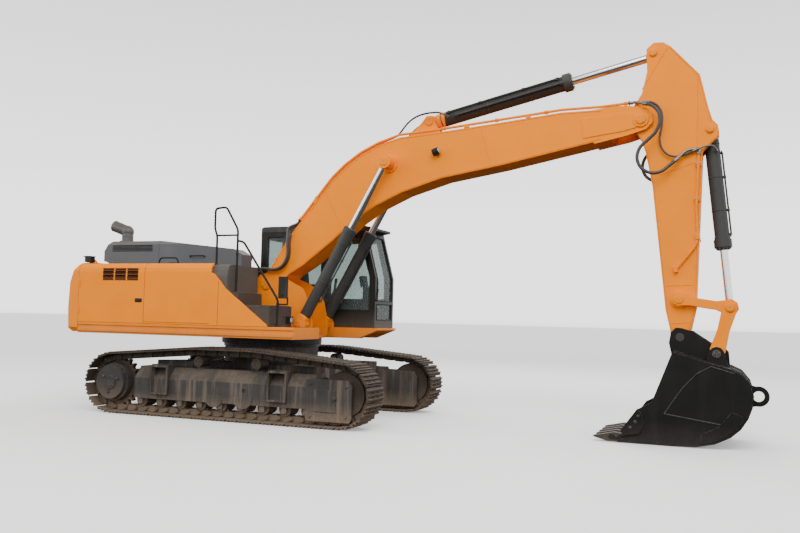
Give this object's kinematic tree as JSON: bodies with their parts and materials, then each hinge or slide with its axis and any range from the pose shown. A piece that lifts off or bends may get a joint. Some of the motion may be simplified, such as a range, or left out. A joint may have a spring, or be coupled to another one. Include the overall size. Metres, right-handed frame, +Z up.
{
  "type": "crawler excavator",
  "caption": "Tracked hydraulic excavator with a slewing house and cab, a cranked boom, an arm and a toothed digging bucket moved by cylinders.",
  "frame": {"origin": "on the ground under the slew axis, midway between the tracks", "axes": "+X forward along the boom and tracks, +Y to the cab side, +Z up"},
  "size_m": [12.0326, 3.49, 6.0886],
  "materials": {
    "track_steel": "matte",
    "orange_paint": "satin",
    "grey_paint": "satin",
    "weight_iron": "satin",
    "engine_iron": "matte",
    "cover_plastic": "matte",
    "tank_metal": "satin",
    "cab_paint": "satin",
    "tinted_glass": "gloss",
    "seat_cloth": "matte",
    "cab_plastic": "matte",
    "chrome_rod": "polished",
    "bucket_steel": "matte",
    "tooth_steel": "matte",
    "hose_rubber": "matte",
    "lamp_plastic": "matte"
  },
  "bodies": {
    "undercarriage": {"carbody": "track_steel", "track_frames": "track_steel", "track_loops": "track_steel", "final_drives": "track_steel", "drive_sprockets": "track_steel", "idlers": "track_steel", "bottom_rollers": "track_steel", "top_rollers": "track_steel", "track_steps": "track_steel", "swing_bearing": "grey_paint", "tow_lugs": "track_steel"},
    "upper": {"upper_frame": "orange_paint", "counterweight": "weight_iron", "engine": "engine_iron", "house_frame": "grey_paint", "side_covers": "orange_paint", "fuel_tank": "tank_metal", "storage_box": "tank_metal", "hood_cover": "cover_plastic", "control_valve": "engine_iron", "handrails": "grey_paint", "side_mirror": "lamp_plastic", "work_lamps": "lamp_plastic", "cab_shell": "cab_paint", "cab_roof": "cab_plastic", "cab_glass": "tinted_glass", "cab_seat": "seat_cloth", "cab_console": "cab_plastic", "boom_foot_hoses": "hose_rubber"},
    "hood_lid": {"engine_hood": "cover_plastic", "exhaust_stack": "grey_paint"},
    "cab_entry": {"cab_door": "cab_paint", "cab_door_glass": "tinted_glass"},
    "pump_cover": {"pump_door": "orange_paint"},
    "cooler_cover": {"cooler_door": "orange_paint"},
    "filter_cover": {"filter_door": "orange_paint"},
    "boom_body": {"boom": "orange_paint", "boom_pipes": "grey_paint", "boom_lamp": "lamp_plastic", "arm_cylinder_hoses": "hose_rubber", "arm_hoses": "hose_rubber"},
    "boom_barrel_pair": {"boom_barrels": "grey_paint"},
    "boom_rod_pair": {"boom_rods": "chrome_rod"},
    "arm_barrel_body": {"arm_barrel": "grey_paint"},
    "arm_rod_body": {"arm_rod": "chrome_rod"},
    "arm_body": {"arm": "orange_paint", "arm_pipes": "grey_paint"},
    "bucket_barrel_body": {"bucket_barrel": "grey_paint"},
    "bucket_rod_body": {"bucket_rod": "chrome_rod"},
    "tipping_body": {"tipping_links": "orange_paint"},
    "bucket_link_body": {"bucket_link": "orange_paint"},
    "bucket_body": {"bucket": "bucket_steel", "bucket_teeth": "tooth_steel", "bucket_eye": "bucket_steel"}
  },
  "joints": [
    {"name": "swing", "type": "hinge", "parent": "undercarriage", "child": "upper", "pos_m": [0, 0, 0], "axis": [0, 0, 1], "continuous": true},
    {"name": "boom", "type": "hinge", "parent": "upper", "child": "boom_body", "pos_m": [0.03, 0, 2.29], "axis": [0, -1, 0], "range_deg": [-54, 28], "deforming": ["boom_foot_hoses"]},
    {"name": "arm", "type": "hinge", "parent": "boom_body", "child": "arm_body", "pos_m": [6.50766, 0, 4.89006], "axis": [0, 1, 0], "range_deg": [-72, 48], "deforming": ["arm_hoses"]},
    {"name": "bucket", "type": "hinge", "parent": "arm_body", "child": "bucket_body", "pos_m": [7.09459, 0, 1.56141], "axis": [0, 1, 0], "range_deg": [-76, 96]},
    {"name": "boom_barrel_swing", "type": "hinge", "parent": "upper", "child": "boom_barrel_pair", "pos_m": [0.82, 0, 1.62], "axis": [0, -1, 0], "range_deg": [-55.5, 29.5]},
    {"name": "boom_rod_slide", "type": "slide", "parent": "boom_barrel_pair", "child": "boom_rod_pair", "axis": [0.4837, 0, 0.8752], "range_m": [-0.905, 0.472]},
    {"name": "arm_barrel_swing", "type": "hinge", "parent": "boom_body", "child": "arm_barrel_body", "pos_m": [3.00705, 0, 5.10128], "axis": [0, 1, 0], "range_deg": [-7, 5], "deforming": ["arm_cylinder_hoses"]},
    {"name": "arm_rod_slide", "type": "slide", "parent": "arm_barrel_body", "child": "arm_rod_body", "axis": [0.9751, 0, 0.2216], "range_m": [-1.13, 0.756]},
    {"name": "bucket_barrel_swing", "type": "hinge", "parent": "arm_body", "child": "bucket_barrel_body", "pos_m": [7.50846, 0, 4.69082], "axis": [0, 1, 0], "range_deg": [-5, 6]},
    {"name": "bucket_rod_slide", "type": "slide", "parent": "bucket_barrel_body", "child": "bucket_rod_body", "axis": [0.1056, 0, -0.9944], "range_m": [-0.562, 0.71]},
    {"name": "tipping_link_swing", "type": "hinge", "parent": "arm_body", "child": "tipping_body", "pos_m": [7.08111, 0, 2.12158], "axis": [0, 1, 0], "range_deg": [-54, 68]},
    {"name": "bucket_link_swing", "type": "hinge", "parent": "bucket_body", "child": "bucket_link_body", "pos_m": [7.60959, 0, 1.33341], "axis": [0, 1, 0], "range_deg": [-76, 60]},
    {"name": "cab_door", "type": "hinge", "parent": "upper", "child": "cab_entry", "pos_m": [0.346, 1.524, 2.3], "axis": [0, 0, 1], "range_deg": [0, 165]},
    {"name": "hood_lid", "type": "hinge", "parent": "upper", "child": "hood_lid", "pos_m": [-3.24, 0, 2.675], "axis": [0, -1, 0], "range_deg": [0, 60]},
    {"name": "pump_door", "type": "hinge", "parent": "upper", "child": "pump_cover", "pos_m": [-3.138, -1.506, 2], "axis": [0, 0, -1], "range_deg": [0, 100]},
    {"name": "cooler_door", "type": "hinge", "parent": "upper", "child": "cooler_cover", "pos_m": [-3.138, 1.506, 2], "axis": [0, 0, 1], "range_deg": [0, 100]},
    {"name": "filter_door", "type": "hinge", "parent": "upper", "child": "filter_cover", "pos_m": [-1.878, 1.506, 2], "axis": [0, 0, 1], "range_deg": [0, 100]}
  ],
  "couplings": [
    {"joint": "boom_barrel_swing", "follows": "boom", "ratio": 1.01},
    {"joint": "boom_rod_slide", "follows": "boom", "m_per_rad": 0.95},
    {"joint": "arm_barrel_swing", "follows": "arm", "ratio": 0.09},
    {"joint": "arm_rod_slide", "follows": "arm", "m_per_rad": 0.898},
    {"joint": "bucket_barrel_swing", "follows": "bucket", "ratio": 0.056},
    {"joint": "bucket_rod_slide", "follows": "bucket", "m_per_rad": 0.4216},
    {"joint": "tipping_link_swing", "follows": "bucket", "ratio": 0.6958},
    {"joint": "bucket_link_swing", "follows": "bucket", "ratio": -0.773}
  ]
}
